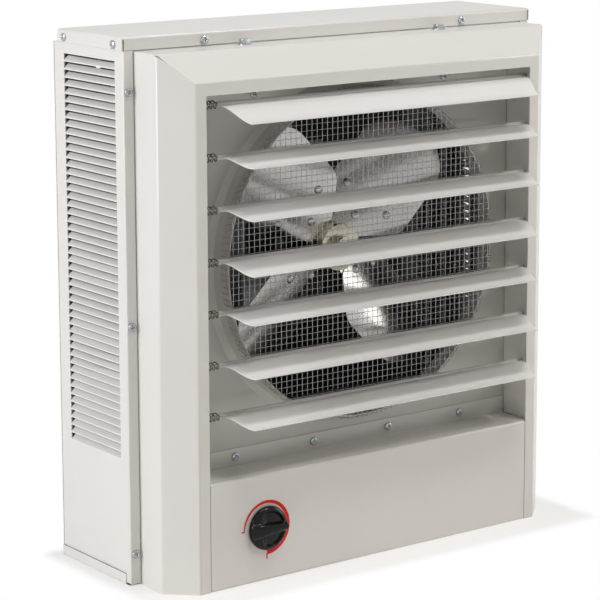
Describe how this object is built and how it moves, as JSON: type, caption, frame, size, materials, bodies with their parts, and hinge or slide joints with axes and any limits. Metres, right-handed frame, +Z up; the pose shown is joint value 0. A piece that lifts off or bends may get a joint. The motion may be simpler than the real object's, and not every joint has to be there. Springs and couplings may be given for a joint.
{
  "type": "unit heater",
  "caption": "Fan-forced electric unit heater: louvred steel cabinet with a bevelled outlet hood, sprung adjustable louvre blades, wire fan guard and a thermostat dial.",
  "frame": {"origin": "middle of the cabinet's bottom face, half way between its front and rear planes", "axes": "+Z up, +Y to the back, +X to the right as seen from the front; the outlet faces -Y"},
  "size_m": [0.5172, 0.2234, 0.54],
  "materials": {
    "cabinet_paint": "satin off-white powder coat",
    "rod_steel": "drawn steel",
    "spring_steel": "dark oiled spring wire",
    "guard_wire": "galvanised wire",
    "fan_aluminium": "mill finish",
    "spider_plate": "yellow zinc plate",
    "motor_paint": "black enamel",
    "element_steel": "finned steel sheath",
    "galvanised_sheet": "galvanised sheet",
    "zinc_screws": "bright zinc plate",
    "knob_plastic": "gloss black moulding",
    "switchgear_plastic": "matt moulding",
    "transformer_iron": "varnished laminations",
    "lug_brass": "plain brass"
  },
  "bodies": {
    "cabinet": {"bottom_tray": "cabinet_paint", "contactor": "switchgear_plastic", "control_cover": "cabinet_paint", "divider_shelf": "galvanised_sheet", "element_fins_left": "element_steel", "element_fins_right": "element_steel", "element_sheaths_left": "element_steel", "element_sheaths_right": "element_steel", "element_strap_left": "galvanised_sheet", "element_strap_right": "galvanised_sheet", "fan_panel": "cabinet_paint", "ground_lug": "lug_brass", "hood_bolts": "zinc_screws", "hood_left_leg": "cabinet_paint", "hood_right_leg": "cabinet_paint", "hood_top": "cabinet_paint", "left_side_panel": "cabinet_paint", "lid_screws": "zinc_screws", "limit_switch": "switchgear_plastic", "louvre_rail_left": "cabinet_paint", "louvre_rail_right": "cabinet_paint", "louvre_springs": "spring_steel", "mesh_guard": "guard_wire", "motor_body": "motor_paint", "motor_bolts": "zinc_screws", "motor_bracket": "galvanised_sheet", "rear_panel": "cabinet_paint", "rear_screws": "zinc_screws", "recess_screws": "zinc_screws", "right_side_panel": "cabinet_paint", "strip_screws": "zinc_screws", "terminal_block": "switchgear_plastic", "thermostat_body": "switchgear_plastic", "top_baffle": "cabinet_paint", "top_cover": "cabinet_paint", "transformer": "transformer_iron"},
    "fan": {"fan_blades": "fan_aluminium", "fan_rivets": "fan_aluminium", "fan_spider": "spider_plate", "motor_shaft": "rod_steel"},
    "dial": {"thermostat_knob": "knob_plastic", "thermostat_shaft": "rod_steel"},
    "louvre_1": {"louvre_blade_1": "cabinet_paint", "louvre_rod_1": "rod_steel"},
    "louvre_2": {"louvre_blade_2": "cabinet_paint", "louvre_rod_2": "rod_steel"},
    "louvre_3": {"louvre_blade_3": "cabinet_paint", "louvre_rod_3": "rod_steel"},
    "louvre_4": {"louvre_blade_4": "cabinet_paint", "louvre_rod_4": "rod_steel"},
    "louvre_5": {"louvre_blade_5": "cabinet_paint", "louvre_rod_5": "rod_steel"},
    "louvre_6": {"louvre_blade_6": "cabinet_paint", "louvre_rod_6": "rod_steel"},
    "louvre_7": {"louvre_blade_7": "cabinet_paint", "louvre_rod_7": "rod_steel"}
  },
  "joints": [
    {"name": "fan_spin", "type": "hinge", "parent": "cabinet", "child": "fan", "pos_m": [0, -0.0553, 0.3105], "axis": [0, 1, 0], "continuous": true},
    {"name": "dial_turn", "type": "hinge", "parent": "cabinet", "child": "dial", "pos_m": [-0.136, -0.1263, 0.054], "axis": [0, 1, 0], "range_deg": [-180, 90]},
    {"name": "louvre_1_tilt", "type": "hinge", "parent": "cabinet", "child": "louvre_1", "pos_m": [0, -0.1149, 0.4761], "axis": [1, 0, 0], "range_deg": [-32.5, 59.5]},
    {"name": "louvre_2_tilt", "type": "hinge", "parent": "cabinet", "child": "louvre_2", "pos_m": [0, -0.1149, 0.4254], "axis": [1, 0, 0], "range_deg": [-20, 72]},
    {"name": "louvre_3_tilt", "type": "hinge", "parent": "cabinet", "child": "louvre_3", "pos_m": [0, -0.1149, 0.3747], "axis": [1, 0, 0], "range_deg": [-19.5, 72.5]},
    {"name": "louvre_4_tilt", "type": "hinge", "parent": "cabinet", "child": "louvre_4", "pos_m": [0, -0.1149, 0.324], "axis": [1, 0, 0], "range_deg": [-23.8, 68.2]},
    {"name": "louvre_5_tilt", "type": "hinge", "parent": "cabinet", "child": "louvre_5", "pos_m": [0, -0.1149, 0.2733], "axis": [1, 0, 0], "range_deg": [-18.6, 73.4]},
    {"name": "louvre_6_tilt", "type": "hinge", "parent": "cabinet", "child": "louvre_6", "pos_m": [0, -0.1149, 0.2226], "axis": [1, 0, 0], "range_deg": [-21.4, 70.6]},
    {"name": "louvre_7_tilt", "type": "hinge", "parent": "cabinet", "child": "louvre_7", "pos_m": [0, -0.1149, 0.1719], "axis": [1, 0, 0], "range_deg": [-21, 71]}
  ]
}
